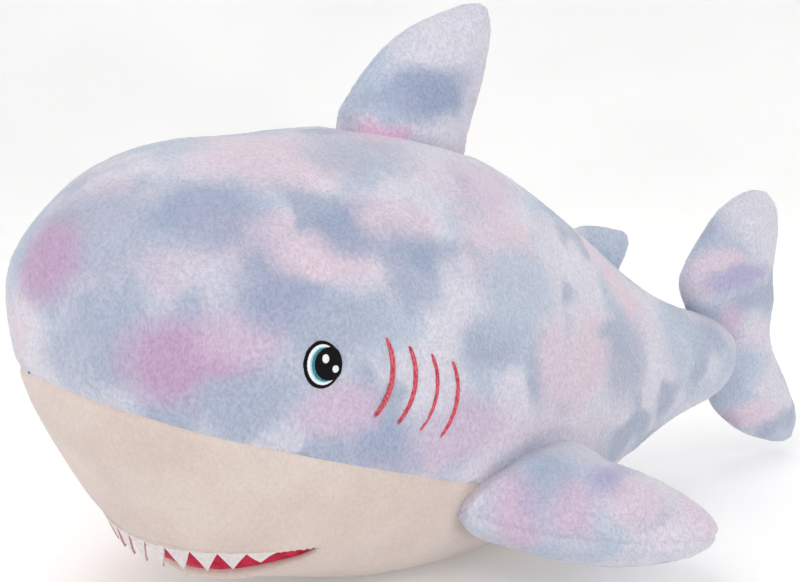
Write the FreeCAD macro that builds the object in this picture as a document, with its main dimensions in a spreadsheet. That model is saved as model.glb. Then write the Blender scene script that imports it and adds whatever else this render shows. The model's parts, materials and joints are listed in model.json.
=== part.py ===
import FreeCAD, Part
import Sketcher
import math
import os

# A plush shark, sewn from cut fabric panels over loose fibre filling.
#
# Frame: millimetres, +Z up, nose towards -Y, tail towards +Y, and +X is the shark's left.
# The origin is the middle of the small flat patch of belly that the toy rests on.
#
# The trunk is one rounded form, inset by different amounts for the cloth, the filling, the
# mouth pocket and the embroidery. Every fin is a loft of ellipses across its own span, also
# inset for cloth and filling, and its root is cut back so that it can lean about its seam.

V = FreeCAD.Vector
X_AXIS = V(1, 0, 0)
Y_AXIS = V(0, 1, 0)
Z_AXIS = V(0, 0, 1)

doc = FreeCAD.newDocument("PlushShark")
sheet = doc.addObject("Spreadsheet::Sheet", "Sizes")

SIZES = {
    # sewn materials
    "cloth": 3.0,
    "air": 0.3,
    "thread": 0.9,
    # trunk
    "nose_y": -254.0,
    "stem_y": 300.0,
    "nose_round": 84.0,
    "tail_round": 40.0,
    "back_power": 2.0,
    "belly_power": 2.3,
    "reach": 450.0,
    # trunk lines: each has a value at the nose, where it is fullest and at the stem's end
    "back_nose": 258.0,
    "back_full": 280.0,
    "back_full_y": -55.0,
    "back_stem": 125.0,
    "under_nose": 80.0,
    "under_full": -4.0,
    "under_full_y": 0.0,
    "under_stem": 60.0,
    "half_nose": 80.0,
    "half_full": 121.0,
    "half_full_y": -95.0,
    "half_stem": 36.0,
    "mid_nose": 193.0,
    "mid_full": 98.0,
    "mid_full_y": 240.0,
    "mid_stem": 98.0,
    "swell_power": 2.2,
    "fall_power": 2.3,
    "stem_power": 2.5,
    # white belly panel
    "belly_front_y": -262.0,
    "belly_front_z": 156.0,
    "belly_mid_y": -36.0,
    "belly_mid_z": 81.0,
    "belly_rear_y": 60.0,
    "belly_rear_z": 48.0,
    "belly_end_y": 208.0,
    "belly_end_z": 40.0,
    "belly_under_z": -20.0,
    # mouth pocket
    "mouth_front_y": -235.0,
    "mouth_corner_y": -115.0,
    "mouth_hinge_y": -150.0,
    "upper_lip_z": 53.0,
    "lower_lip_z": 38.0,
    "mouth_depth": 12.0,
    "lining_front": 8.0,
    "lining_back": 10.5,
    # teeth
    "tooth_pitch": 19.5,
    "tooth_height": 11.0,
    "tooth_tip": 1.2,
    "jaw_half_width": 105.0,
    "jaw_length": 84.0,
    "tooth_inset": 0.3,
    "tooth_felt": 2.2,
    # eyes
    "eye_x": 114.0,
    "eye_y": -126.0,
    "eye_z": 164.0,
    "eye_turn": -13.0,
    "eye_lift": 8.0,
    "eye_ring_radius": 11.0,
    "eye_white_radius": 9.2,
    "eye_iris_radius": 7.4,
    "eye_pupil_radius": 5.2,
    "eye_glint_radius": 1.5,
    "eye_shift": 0.9,
    "eye_glint_shift": 2.4,
    # gills
    "gill_first_y": -91.0,
    "gill_first_z": 153.0,
    "gill_pitch": 15.0,
    "gill_fall": 6.5,
    "gill_chord": 42.5,
    "gill_bulge": 6.5,
    "gill_lean": 14.0,
    "gill_width": 2.0,
    # block round the left cheek that holds its embroidery
    "cheek_x": 50.0,
    "cheek_y": -160.0,
    "cheek_z": 60.0,
    "cheek_size": 160.0,
    # fin seams: how far each root is cut back from the skin it leans over
    "dorsal_cut": 32.0,
    "rear_cut": 32.0,
    "pectoral_cut_above": 51.0,
    "pectoral_cut_below": 18.0,
    "tail_socket_radius": 41.0,
    "tail_socket_low": 56.0,
    "tail_socket_high": 144.0,
    # fin frames
    "dorsal_y": 3.0,
    "dorsal_z": 271.0,
    "dorsal_slope": 12.0,
    "dorsal_seam": 8.0,
    "rear_y": 169.0,
    "rear_z": 178.5,
    "rear_slope": 33.5,
    "rear_seam": 2.5,
    "pectoral_x": 106.0,
    "pectoral_y": 0.0,
    "pectoral_z": 61.0,
    "pectoral_droop": 14.5,
    "pectoral_seam_x": 102.0,
    "pectoral_seam_y": 26.0,
    "pectoral_seam_turn": 11.5,
    "tail_y": 262.0,
    # fin outlines: the root's height, chord, middle and half thickness, the length out from
    # the root, and how far the tip sweeps back
    "dorsal_base": 0.0,
    "dorsal_span": 95.0,
    "dorsal_chord": 94.0,
    "dorsal_middle": -1.0,
    "dorsal_sweep": 40.0,
    "dorsal_thick": 24.0,
    "rear_base": 0.0,
    "rear_span": 26.0,
    "rear_chord": 56.0,
    "rear_middle": -8.0,
    "rear_sweep": 18.0,
    "rear_thick": 10.0,
    "pectoral_base": 0.0,
    "pectoral_span": 83.0,
    "pectoral_chord": 112.0,
    "pectoral_middle": 26.0,
    "pectoral_sweep": 73.0,
    "pectoral_thick": 27.0,
    "tail_base": 112.0,
    "tail_span": 105.0,
    "tail_chord": 88.0,
    "tail_middle": 42.0,
    "tail_sweep": 26.0,
    "tail_thick": 18.0,
    "tail_low_span": 104.0,
    "tail_low_sweep": 68.0,
    # fin curves: a higher bend sweeps later, a higher full or slim keeps chord or thickness longer
    "dorsal_bend": 1.8,
    "dorsal_full": 2.2,
    "dorsal_slim": 1.0,
    "rear_bend": 1.4,
    "rear_full": 1.5,
    "rear_slim": 1.0,
    "pectoral_bend": 1.0,
    "pectoral_full": 2.0,
    "pectoral_slim": 2.0,
    "tail_bend": 2.4,
    "tail_low_bend": 1.6,
    "tail_full": 5.0,
    "tail_slim": 3.0,
    "fin_tip_round": 0.62,
    "fin_tip_slim": 0.55,
    "fin_tip_thick": 3.0,
}

# How many steps a fin's sections take from its root to its tip, or from tip to tip on the tail.
FIN_STEPS = {"dorsal": 6, "rear": 4, "pectoral": 7, "tail": 7}
FIN_TIP_ANGLE = 76

SECTION_STEPS = 12
NOSE_ANGLES = (7, 20, 36, 53, 71)
TAIL_ANGLES = (70, 50, 30, 12)
TRUNK_BAYS = 10
TOOTH_COUNT = 14
GILL_COUNT = 4


def fin_section(fin, place):
    """The measures of one fin section, at a place from 0 at its first section to 1 at its last."""
    first_angle = -FIN_TIP_ANGLE if fin == "tail" else 0
    angle = first_angle + (FIN_TIP_ANGLE - first_angle) * place
    lobe = "tail_low" if angle < 0 else fin
    share = math.sin(math.radians(abs(angle)))
    centre = SIZES[f"{fin}_middle"] + SIZES[f"{lobe}_sweep"] * share ** SIZES[f"{lobe}_bend"]
    chord = SIZES[f"{fin}_chord"] * (1 - share ** SIZES[f"{fin}_full"]) ** SIZES["fin_tip_round"]
    fatness = (1 - share ** SIZES[f"{fin}_slim"]) ** SIZES["fin_tip_slim"]
    tip = SIZES["fin_tip_thick"]
    return {
        "span": SIZES[f"{fin}_base"] + math.copysign(share, angle) * SIZES[f"{lobe}_span"],
        "lead": centre - chord / 2,
        "trail": centre + chord / 2,
        "thick": tip + (SIZES[f"{fin}_thick"] - tip) * fatness,
    }


def fill_sheet():
    """Writes every driving size to the sheet, one named cell each."""
    values = dict(SIZES)
    for fin, steps in FIN_STEPS.items():
        for number in range(steps + 1):
            for measure, value in fin_section(fin, number / steps).items():
                values[f"{fin}_{measure}_{number}"] = value
    for row, (name, value) in enumerate(values.items(), start=1):
        sheet.set(f"A{row}", name)
        sheet.set(f"B{row}", str(value))
        sheet.setAlias(f"B{row}", name)
    doc.recompute()


def size(name):
    """Reads one named size back from the sheet."""
    return float(sheet.get(name))


def add(kind, name):
    """Adds a document object and gives it its label."""
    item = doc.addObject(kind, name)
    item.Label = name
    return item


def cut(name, base, tool):
    item = add("Part::Cut", name)
    item.Base = base
    item.Tool = tool
    return item


def common(name, base, tool):
    item = add("Part::Common", name)
    item.Base = base
    item.Tool = tool
    return item


def fuse(name, shapes):
    item = add("Part::MultiFuse", name)
    item.Shapes = shapes
    return item


def mirror(name, source):
    """Makes the right-hand twin of a left-hand piece."""
    item = add("Part::Mirroring", name)
    item.Source = source
    item.Normal = X_AXIS
    return item


# ---------------------------------------------------------------- trunk forms

def trunk_line(line, y):
    """A trunk line's value at y. It swells from the nose, and falls behind its fullest place."""
    full = size(f"{line}_full")
    full_y = size(f"{line}_full_y")
    if y < full_y:
        share = (full_y - y) / (full_y - size("nose_y"))
        return full + (size(f"{line}_nose") - full) * share ** size("swell_power")
    share = min((y - full_y) / (size("stem_y") - full_y), 1)
    stem = size(f"{line}_stem")
    return stem + (full - stem) * (1 - share ** size("fall_power")) ** size("stem_power")


def trunk_stations(inset):
    """Pairs of y and roundness: 1 along the trunk, falling to 0 round the nose and tail end."""
    nose_centre = size("nose_y") + size("nose_round")
    tail_centre = size("stem_y") - size("tail_round")
    stations = []
    for degrees in NOSE_ANGLES:
        angle = math.radians(degrees)
        stations.append((nose_centre - (size("nose_round") - inset) * math.cos(angle), math.sin(angle)))
    for bay in range(TRUNK_BAYS + 1):
        stations.append((nose_centre + (tail_centre - nose_centre) * bay / TRUNK_BAYS, 1.0))
    for degrees in TAIL_ANGLES:
        angle = math.radians(degrees)
        stations.append((tail_centre + (size("tail_round") - inset) * math.cos(angle), math.sin(angle)))
    return stations


def trunk_section(y, mid, rise, drop, half):
    """Closed outline across the trunk, in two halves that meet on the centre plane."""
    halves = []
    for side in (1, -1):
        points = []
        for step in range(SECTION_STEPS + 1):
            angle = math.pi * step / SECTION_STEPS
            above = step * 2 <= SECTION_STEPS
            power = 2 / (size("back_power") if above else size("belly_power"))
            across = half * abs(math.sin(angle)) ** power
            up = abs(math.cos(angle)) ** power
            points.append(V(side * across, y, mid + (rise * up if above else -drop * up)))
        points[0].x = 0
        points[-1].x = 0
        curve = Part.BSplineCurve()
        curve.interpolate(Points=points)
        halves.append(curve.toShape())
    return Part.Wire(halves)


def trunk_form(name, inset):
    """The whole trunk as one solid, inset from the outer cloth, flat where it rests."""
    wires = []
    for y, roundness in trunk_stations(inset):
        mid = trunk_line("mid", y)
        rise = trunk_line("back", y) - mid
        drop = mid - trunk_line("under", y)
        half = trunk_line("half", y)
        inner = [(reach_out - inset) * roundness for reach_out in (rise, drop, half)]
        wires.append(trunk_section(y, mid, *inner))
    solid = Part.makeLoft(wires, True)
    reach = size("reach")
    above_floor = Part.makeBox(2 * reach, 2 * reach, reach, V(-reach, -reach, inset))
    item = add("Part::Feature", name)
    item.Shape = solid.common(above_floor)
    return item


def side_prism(name, points):
    """A slab across the whole width, from an outline of named y and z sizes."""
    body = add("PartDesign::Body", name)
    sketch = body.newObject("Sketcher::SketchObject", name + "_outline")
    side_plane = next(plane for plane in body.Origin.OriginFeatures if plane.Role == "YZ_Plane")
    sketch.AttachmentSupport = [(side_plane, "")]
    sketch.MapMode = "FlatFace"
    corners = [V(size(y_name), size(z_name), 0) for y_name, z_name in points]
    count = len(corners)
    for index in range(count):
        sketch.addGeometry(Part.LineSegment(corners[index], corners[(index + 1) % count]), False)
    for index in range(count):
        sketch.addConstraint(Sketcher.Constraint("Coincident", index, 2, (index + 1) % count, 1))
    for index, aliases in enumerate(points):
        for kind, alias in zip(("DistanceX", "DistanceY"), aliases):
            number = sketch.addConstraint(Sketcher.Constraint(kind, -1, 1, index, 1, size(alias)))
            sketch.setExpression(f"Constraints[{number}]", f"Sizes.{alias}")
    pad = body.newObject("PartDesign::Pad", name + "_slab")
    pad.Profile = sketch
    pad.SideType = "Symmetric"
    pad.setExpression("Length", "Sizes.reach")
    body.Tip = pad
    return body


def half_space(name, placement):
    """A block that fills everything on the -X side of a frame's own YZ plane."""
    box = add("Part::Box", name)
    for side in ("Length", "Width", "Height"):
        box.setExpression(side, "2 * Sizes.reach")
    reach = size("reach")
    corner = FreeCAD.Placement(V(-2 * reach, -reach, -reach), FreeCAD.Rotation())
    box.Placement = placement.multiply(corner)
    return box


# ---------------------------------------------------------------- trunk pieces

def make_trunk(nodes):
    cloth = size("cloth")
    outside = trunk_form("trunk_outside", 0)
    inside = trunk_form("trunk_inside", cloth)
    skin = cut("trunk_skin", outside, inside)
    left_of_centre = FreeCAD.Placement(V(), FreeCAD.Rotation(Z_AXIS, 180))
    left_half = half_space("left_half", left_of_centre)
    belly_zone = side_prism("belly_zone", [
        ("belly_front_y", "belly_front_z"),
        ("belly_mid_y", "belly_mid_z"),
        ("belly_rear_y", "belly_rear_z"),
        ("belly_end_y", "belly_end_z"),
        ("belly_end_y", "belly_under_z"),
        ("belly_front_y", "belly_under_z"),
    ])
    mouth_zone = side_prism("mouth_zone", [
        ("mouth_front_y", "upper_lip_z"),
        ("mouth_corner_y", "upper_lip_z"),
        ("mouth_hinge_y", "lower_lip_z"),
        ("mouth_front_y", "lower_lip_z"),
    ])
    mouth_floor = trunk_form("mouth_floor", size("mouth_depth"))
    mouth_pocket = cut("mouth_pocket", mouth_zone, mouth_floor)

    left_skin = common("left_skin", skin, left_half)
    flank = cut("flank_cover_left", left_skin, belly_zone)
    nodes["flank_cover_left"] = flank
    nodes["flank_cover_right"] = mirror("flank_cover_right", flank)
    belly = common("belly_skin", skin, belly_zone)
    nodes["belly_panel"] = cut("belly_panel", belly, mouth_pocket)
    filling = trunk_form("filling_form", cloth + size("air"))
    nodes["body_stuffing"] = cut("body_stuffing", filling, mouth_pocket)

    lining_front = trunk_form("lining_front_form", size("lining_front"))
    lining_back = trunk_form("lining_back_form", size("lining_back"))
    lining = cut("lining_shell", lining_front, lining_back)
    nodes["mouth_lining"] = common("mouth_lining", lining, mouth_zone)
    nodes["upper_teeth"] = make_teeth(mouth_zone)
    return outside


def make_teeth(mouth_zone):
    """One zigzag felt strip that hangs from the upper lip round the whole mouth."""
    inset = size("tooth_inset")
    front = trunk_form("tooth_front_form", inset)
    back = trunk_form("tooth_back_form", inset + size("tooth_felt"))
    strip = cut("tooth_strip", front, back)
    across = size("jaw_half_width")
    along = size("jaw_length")
    mean_radius = (across + along) / 2
    corner_y = size("mouth_corner_y")
    wedges = []
    for number in range(TOOTH_COUNT):
        place = number - (TOOTH_COUNT - 1) / 2
        angle = place * size("tooth_pitch") / mean_radius
        outward = V(along * math.sin(angle), -across * math.cos(angle), 0).normalize()
        down = V(0, 0, -1)
        shrink = 1 - 0.4 * (place * 2 / TOOTH_COUNT) ** 2
        wedge = add("Part::Wedge", f"tooth_{number + 1}")
        wedge.setExpression("Xmin", "-0.62 * Sizes.tooth_pitch")
        wedge.setExpression("Xmax", "0.62 * Sizes.tooth_pitch")
        wedge.setExpression("X2min", "-Sizes.tooth_tip")
        wedge.setExpression("X2max", "Sizes.tooth_tip")
        wedge.Ymin = 0
        wedge.setExpression("Ymax", f"{shrink:.3f} * Sizes.tooth_height")
        for low in ("Zmin", "Z2min"):
            wedge.setExpression(low, "-2 * Sizes.tooth_pitch")
        for high in ("Zmax", "Z2max"):
            wedge.setExpression(high, "2 * Sizes.tooth_pitch")
        foot = V(across * math.sin(angle), corner_y - along * math.cos(angle), size("upper_lip_z"))
        turn = FreeCAD.Rotation(down.cross(outward), down, outward, "ZYX")
        wedge.Placement = FreeCAD.Placement(foot, turn)
        wedges.append(wedge)
    zigzag = fuse("zigzag", wedges)
    return common("upper_teeth", common("tooth_band", strip, mouth_zone), zigzag)


# ---------------------------------------------------------------- embroidery

def make_left_thread(outside):
    """The thread layer on the left cheek, standing just proud of the cloth."""
    cheek = add("Part::Box", "cheek")
    for side in ("Length", "Width", "Height"):
        cheek.setExpression(side, "Sizes.cheek_size")
    cheek.setExpression("Placement.Base.x", "Sizes.cheek_x")
    cheek.setExpression("Placement.Base.y", "Sizes.cheek_y")
    cheek.setExpression("Placement.Base.z", "Sizes.cheek_z")
    raised = common("raised_cheek", trunk_form("thread_form", -size("thread")), cheek)
    return cut("left_thread", raised, outside)


def eye_disc(name, radius, shift_back, shift_up):
    """A rod through the left eye, square to the face, moved back and up from the eye's centre."""
    lift = math.radians(size("eye_lift"))
    turn = math.radians(size("eye_turn"))
    outward = V(math.cos(lift) * math.cos(turn), math.cos(lift) * math.sin(turn), math.sin(lift))
    back = Z_AXIS.cross(outward).normalize()
    up = outward.cross(back)
    length = 3 * size("eye_ring_radius")
    centre = V(size("eye_x"), size("eye_y"), size("eye_z")) + back * shift_back + up * shift_up
    rod = add("Part::Cylinder", name)
    rod.setExpression("Radius", radius)
    rod.setExpression("Height", "3 * Sizes.eye_ring_radius")
    rod.Placement = FreeCAD.Placement(centre - outward * (length / 2), FreeCAD.Rotation(Z_AXIS, outward))
    return rod


def make_eyes(nodes, thread):
    shift = size("eye_shift")
    glint = size("eye_glint_shift")
    ring = eye_disc("ring_rod", "Sizes.eye_ring_radius", 0, 0)
    white = eye_disc("white_rod", "Sizes.eye_white_radius", -shift / 2, -shift / 2)
    iris = eye_disc("iris_rod", "Sizes.eye_iris_radius", shift, shift)
    pupil = eye_disc("pupil_rod", "Sizes.eye_pupil_radius", shift * 1.5, shift * 1.5)
    glints = fuse("glint_rods", [
        eye_disc("glint_rod_high", "Sizes.eye_glint_radius", -glint / 2, glint * 1.5),
        eye_disc("glint_rod_low", "Sizes.eye_glint_radius", glint / 2, -glint / 4),
    ])
    steps = [
        ("ring", ring, fuse("ring_opening", [white, iris])),
        ("white", white, iris),
        ("iris", iris, pupil),
        ("pupil", pupil, glints),
    ]
    for part, outer, inner in steps:
        patch = common(f"eye_{part}_patch", thread, outer)
        name = f"eye_{part}_left"
        nodes[name] = cut(name, patch, inner)
    nodes["eye_glints_left"] = common("eye_glints_left", thread, glints)
    for part in ("ring", "white", "iris", "pupil", "glints"):
        name = f"eye_{part}_right"
        nodes[name] = mirror(name, nodes[f"eye_{part}_left"])


def gill_arc(name, extra):
    """A pie-shaped rod whose round edge follows one gill line, widened by extra."""
    radius = "(Sizes.gill_chord ^ 2 / 4 + Sizes.gill_bulge ^ 2) / (2 * Sizes.gill_bulge)"
    rod = add("Part::Cylinder", name)
    rod.setExpression("Radius", f"{radius} + {extra} * Sizes.gill_width")
    rod.setExpression("Height", "Sizes.reach / 3")
    return rod


def make_gills(nodes, thread):
    chord = size("gill_chord")
    bulge = size("gill_bulge")
    radius = (chord ** 2 / 4 + bulge ** 2) / (2 * bulge)
    half_angle = math.asin(chord / 2 / radius)
    lean = math.radians(size("gill_lean"))
    for number in range(GILL_COUNT):
        middle_y = size("gill_first_y") + number * size("gill_pitch")
        middle_z = size("gill_first_z") - number * size("gill_fall")
        hollow = radius - bulge
        centre = V(0, middle_y - hollow * math.cos(lean), middle_z + hollow * math.sin(lean))
        start = -lean - half_angle
        first = V(0, math.cos(start), math.sin(start))
        turn = FreeCAD.Rotation(first, X_AXIS.cross(first), X_AXIS, "ZXY")
        rods = []
        for edge, extra in (("outer", 0.5), ("inner", -0.5)):
            rod = gill_arc(f"gill_{edge}_{number + 1}", extra)
            rod.Angle = math.degrees(2 * half_angle)
            rod.Placement = FreeCAD.Placement(centre, turn)
            rods.append(rod)
        line = cut(f"gill_line_{number + 1}", *rods)
        left = f"gill_{number + 1}_left"
        nodes[left] = common(left, thread, line)
        right = f"gill_{number + 1}_right"
        nodes[right] = mirror(right, nodes[left])


# ---------------------------------------------------------------- fins

def fin_form(fin, name, inset, placement, open_root=True):
    """One fin as a loft of ellipses: local X is its thickness, Y its chord, Z its span."""
    last = FIN_STEPS[fin]
    ellipses = []
    for number in range(last + 1):
        lead, trail, thick, span = (
            f"Sizes.{fin}_{column}_{number}" for column in ("lead", "trail", "thick", "span")
        )
        end_step = 0
        if number == last:
            end_step = -inset
        if number == 0 and not open_root:
            end_step = inset
        ellipse = add("Part::Ellipse", f"{name}_{number}")
        ellipse.setExpression("MajorRadius", f"({trail} - {lead}) / 2 - {inset}")
        ellipse.setExpression("MinorRadius", f"{thick} - {inset}")
        ellipse.Placement = FreeCAD.Placement(V(), FreeCAD.Rotation(Z_AXIS, 90))
        ellipse.setExpression("Placement.Base.y", f"({trail} + {lead}) / 2")
        ellipse.setExpression("Placement.Base.z", f"{span} + {end_step}")
        ellipses.append(ellipse)
    loft = add("Part::Loft", name)
    loft.Sections = ellipses
    loft.Solid = True
    loft.Placement = placement
    return loft


def make_fin(nodes, fin, frame, root, covers, open_root=True):
    """Two cover panels and their filling. The covers name the local -X and +X sides in turn."""
    cloth = size("cloth")
    outside = fin_form(fin, f"{fin}_outside", 0, frame, open_root)
    inside = fin_form(fin, f"{fin}_inside", cloth, frame, open_root)
    filling = fin_form(fin, f"{fin}_filling", cloth + size("air"), frame, open_root)
    shell = cut(f"{fin}_shell", outside, inside)
    open_shell = cut(f"{fin}_open_shell", shell, root)
    low_side = half_space(f"{fin}_low_side", frame)
    nodes[covers[0]] = common(covers[0], open_shell, low_side)
    nodes[covers[1]] = cut(covers[1], open_shell, low_side)
    name = covers[2]
    nodes[name] = cut(name, filling, root)


def leaning_root(name, frame, rise, angle):
    """Cuts a fin's root to a wedge whose edge lies on its seam, to leave room to lean both ways."""
    sides = []
    for number, tilt in enumerate((90 - angle, 90 + angle)):
        seam = frame.multiply(FreeCAD.Placement(V(0, 0, rise), FreeCAD.Rotation(Y_AXIS, -tilt)))
        sides.append(half_space(f"{name}_{number + 1}", seam))
    return fuse(name, sides)


def make_back_fins(nodes):
    for fin in ("dorsal", "rear"):
        slope = FreeCAD.Rotation(X_AXIS, -size(f"{fin}_slope"))
        frame = FreeCAD.Placement(V(0, size(f"{fin}_y"), size(f"{fin}_z")), slope)
        root = leaning_root(f"{fin}_root", frame, size(f"{fin}_seam"), size(f"{fin}_cut"))
        covers = (f"{fin}_fin_cover_right", f"{fin}_fin_cover_left", f"{fin}_fin_stuffing")
        make_fin(nodes, fin, frame, root, covers)


def make_pectorals(nodes):
    outward = FreeCAD.Rotation(Y_AXIS, 90 + size("pectoral_droop"))
    frame = FreeCAD.Placement(V(size("pectoral_x"), size("pectoral_y"), size("pectoral_z")), outward)
    seam = V(size("pectoral_seam_x"), size("pectoral_seam_y"), size("pectoral_z"))
    turn = FreeCAD.Rotation(Z_AXIS, size("pectoral_seam_turn"))
    faces = []
    for side in ("above", "below"):
        tilt = FreeCAD.Rotation(Y_AXIS, size(f"pectoral_cut_{side}"))
        faces.append(half_space(f"pectoral_face_{side}", FreeCAD.Placement(seam, turn.multiply(tilt))))
    root = fuse("pectoral_root", faces)
    names = ("pectoral_top_cover", "pectoral_under_cover", "pectoral_stuffing")
    left = [f"{name}_left" for name in names]
    make_fin(nodes, "pectoral", frame, root, left)
    for name in names:
        nodes[f"{name}_right"] = mirror(f"{name}_right", nodes[f"{name}_left"])


def make_tail(nodes):
    frame = FreeCAD.Placement(V(0, size("tail_y"), 0), FreeCAD.Rotation())
    socket = add("Part::Cylinder", "tail_socket")
    socket.setExpression("Radius", "Sizes.tail_socket_radius")
    socket.setExpression("Height", "Sizes.tail_socket_high - Sizes.tail_socket_low")
    socket.setExpression("Placement.Base.y", "Sizes.tail_y")
    socket.setExpression("Placement.Base.z", "Sizes.tail_socket_low")
    covers = ("tail_fin_cover_right", "tail_fin_cover_left", "tail_fin_stuffing")
    make_fin(nodes, "tail", frame, socket, covers, open_root=False)


# ---------------------------------------------------------------- build and write

def check(nodes):
    """Stops if any object failed, or if a piece is empty or not valid."""
    for item in doc.Objects:
        if "Invalid" in item.State or "Error" in item.State:
            raise RuntimeError(f"{item.Label} failed: {item.State}")
    for name, item in nodes.items():
        shape = item.Shape
        if shape.isNull() or not shape.isValid() or shape.Volume <= 0:
            raise RuntimeError(f"{name} has no valid shape")
        print(f"{name}: {len(shape.Solids)} solid(s), {shape.Volume / 1000:.2f} cm3")


def main():
    fill_sheet()
    nodes = {}
    outside = make_trunk(nodes)
    left_thread = make_left_thread(outside)
    make_eyes(nodes, left_thread)
    make_gills(nodes, left_thread)
    make_back_fins(nodes)
    make_pectorals(nodes)
    make_tail(nodes)
    doc.recompute()
    check(nodes)
    os.makedirs("parts", exist_ok=True)
    for name, item in nodes.items():
        item.Shape.exportStep(f"parts/{name}.step")


main()
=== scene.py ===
import json
import math

import bpy
import numpy as np
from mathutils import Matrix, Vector, noise
from mathutils.bvhtree import BVHTree
from mathutils.kdtree import KDTree


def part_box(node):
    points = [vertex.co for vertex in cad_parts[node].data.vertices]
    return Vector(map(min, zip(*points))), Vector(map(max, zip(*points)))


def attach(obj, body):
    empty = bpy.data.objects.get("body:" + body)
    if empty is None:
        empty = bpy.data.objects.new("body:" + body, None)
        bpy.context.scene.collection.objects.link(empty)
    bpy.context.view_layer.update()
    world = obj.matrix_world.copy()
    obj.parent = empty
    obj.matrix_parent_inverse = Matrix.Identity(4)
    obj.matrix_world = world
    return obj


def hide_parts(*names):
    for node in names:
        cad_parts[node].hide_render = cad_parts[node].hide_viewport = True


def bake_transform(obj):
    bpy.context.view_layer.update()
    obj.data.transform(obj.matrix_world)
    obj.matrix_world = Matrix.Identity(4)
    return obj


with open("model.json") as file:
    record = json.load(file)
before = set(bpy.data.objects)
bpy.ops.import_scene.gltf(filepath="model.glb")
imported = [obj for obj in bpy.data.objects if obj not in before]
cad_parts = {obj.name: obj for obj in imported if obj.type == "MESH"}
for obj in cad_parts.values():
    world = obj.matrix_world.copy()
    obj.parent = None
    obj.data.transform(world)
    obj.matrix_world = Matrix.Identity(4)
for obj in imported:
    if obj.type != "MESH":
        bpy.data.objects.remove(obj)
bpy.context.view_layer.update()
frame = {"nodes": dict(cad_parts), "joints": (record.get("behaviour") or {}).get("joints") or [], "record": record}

# Looks of the plush shark. The frame is in metres: +Z up, nose towards -Y, +X its left.
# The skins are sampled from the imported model, so every size below is about cloth and thread.

MM = 0.001
JOINTS = {joint["name"]: joint for joint in frame["joints"]}

GRID = 1.8 * MM                 # spacing of the skin grids
PILE = 0.55 * MM                # height of the tufts that the pile clumps into
SEAM_WIDTH = 3.2 * MM           # half width of the dent along a sewn seam
SEAM_DEPTH = 1.5 * MM
NOSE_ROUND = 84 * MM
TAIL_ROUND = 40 * MM
CAST = 0.4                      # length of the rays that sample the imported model

# Side view of the seam between dyed flank and white belly: y and z, nose to tail.
BELLY_SEAM = np.array([(-262, 156), (-36, 81), (60, 48), (208, 40)]) * MM

# Mouth, an arc seen from above about a point between its corners.
MOUTH_Y = -115 * MM
LIP_Z = 53 * MM
MOUTH_GAP = 27 * MM
MOUTH_OPEN = 0.35               # lower keeps the mouth open nearer to its corners
TOOTH_COUNT = 14
TOOTH_LENGTH = 14 * MM
TOOTH_SPAN = math.pi * 0.82     # angle of the mouth that has teeth


# ------------------------------------------------------------------ small helpers

def cell_noise(points, scale, seed=0.0):
    """Smooth noise from -1 to 1 at each point, with lumps about as wide as scale."""
    shift = Vector((seed * 7.31, seed * 3.17, seed * 5.71))
    return np.array([noise.noise(Vector(point) / scale + shift) for point in points])


def smooth_step(value, low, high):
    t = np.clip((value - low) / (high - low), 0, 1)
    return t * t * (3 - 2 * t)


def grid_faces(rows, columns, closed=False):
    """Quads of a grid whose points run along columns first."""
    across = columns if closed else columns - 1
    faces = []
    for row in range(rows - 1):
        for column in range(across):
            after = (column + 1) % columns
            a, b = row * columns + column, row * columns + after
            faces.append((a, b, b + columns, a + columns))
    return faces


def grid_normals(points):
    """Unit normals of a grid of points, rows by columns."""
    along = np.gradient(points, axis=0)
    across = np.gradient(points, axis=1)
    normals = np.cross(across, along)
    length = np.linalg.norm(normals, axis=2, keepdims=True)
    return normals / np.maximum(length, 1e-12)


def outward(points, normals, centre):
    """Turns a grid's normals to face away from a centre."""
    if ((points - centre) * normals).sum() < 0:
        return -normals
    return normals


def blur(values, passes, axis):
    """Evens out a grid along one axis and keeps its two ends."""
    for _ in range(passes):
        moved = np.swapaxes(values, 0, axis).copy()
        moved[1:-1] = (moved[:-2] + 2 * moved[1:-1] + moved[2:]) / 4
        values = np.swapaxes(moved, 0, axis)
    return values


def add_mesh(name, points, faces, materials, rest=None, indices=None):
    """A smooth mesh that remembers where each point of its cloth was dyed."""
    mesh = bpy.data.meshes.new(name)
    mesh.from_pydata([tuple(point) for point in points], [], faces)
    mesh.validate()
    piece = bpy.data.objects.new(name, mesh)
    bpy.context.scene.collection.objects.link(piece)
    for material in materials:
        mesh.materials.append(MATERIALS[material])
    mesh.polygons.foreach_set("use_smooth", [True] * len(mesh.polygons))
    if indices is not None:
        mesh.polygons.foreach_set("material_index", indices)
    dyed = np.asarray(points if rest is None else rest, float)
    attribute = mesh.attributes.new("rest", "FLOAT_VECTOR", "POINT")
    attribute.data.foreach_set("vector", dyed.ravel())
    mesh.update()
    return piece


def orient(points, faces, normals):
    """Turns all the faces of a grid round if they look against the given normals."""
    face = faces[len(faces) // 2]
    a, b, c = (np.array(points[index]) for index in face[:3])
    if np.cross(b - a, c - a) @ normals[face[0]] < 0:
        return [tuple(reversed(face)) for face in faces]
    return faces


def surface_of(*nodes):
    """A ray-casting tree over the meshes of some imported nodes."""
    points, faces = [], []
    for name in nodes:
        mesh = frame["nodes"][name].data
        start = len(points)
        points.extend(tuple(vertex.co) for vertex in mesh.vertices)
        faces.extend(tuple(start + index for index in face.vertices) for face in mesh.polygons)
    return BVHTree.FromPolygons(points, faces)


def cast_in(tree, centre, direction):
    """The first surface met on the way in to a centre, from far out along a direction."""
    direction = Vector(direction).normalized()
    hit = tree.ray_cast(Vector(centre) + direction * CAST, -direction, CAST)[0]
    return None if hit is None else np.array(hit)


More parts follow.
